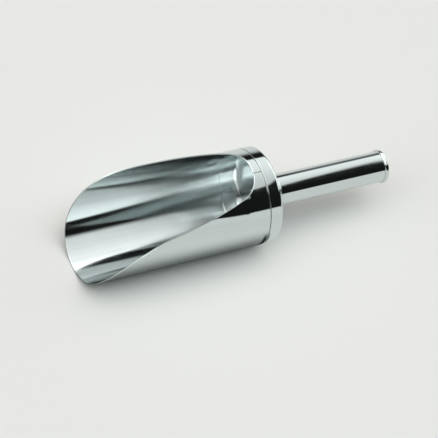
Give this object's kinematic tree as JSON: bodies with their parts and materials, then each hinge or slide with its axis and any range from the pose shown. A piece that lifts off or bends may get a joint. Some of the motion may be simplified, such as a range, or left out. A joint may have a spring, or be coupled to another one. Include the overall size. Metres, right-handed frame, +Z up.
{
  "type": "ice scoop",
  "caption": "Polished steel ice scoop: a round body with a slanted open mouth and rounded lip, a flat capped rear end and a straight tube handle with a collar and an end bead.",
  "frame": {"origin": "Middle of the bounding box in plan, on the plane the round body rests on.", "axes": "+X runs along the scoop's own axis from the lip to the handle's end, +Y is across, +Z is up towards the open mouth."},
  "size_m": [0.2398, 0.074, 0.07],
  "materials": {
    "polished_steel": "stainless steel sheet, mirror polished outside and inside",
    "weld_steel": "weld metal ground flush, slightly duller than the sheet",
    "handle_steel": "stainless steel tube and turned parts, mirror polished",
    "screw_steel": "plain stainless fasteners, as made",
    "dark_seal": "matte dark food-grade rubber",
    "clear_nylon": "natural nylon, satin"
  },
  "bodies": {
    "root": {"scoop_shell": "polished_steel", "seam_weld": "weld_steel", "end_cap": "polished_steel", "joint_seal": "dark_seal", "handle_collar": "handle_steel", "collar_gasket": "dark_seal", "handle_tube": "handle_steel", "end_plug": "handle_steel", "tube_o_rings": "dark_seal", "handle_screw": "screw_steel", "lock_washer": "screw_steel", "flat_washer": "screw_steel", "sealing_washer": "clear_nylon"}
  },
  "joints": []
}
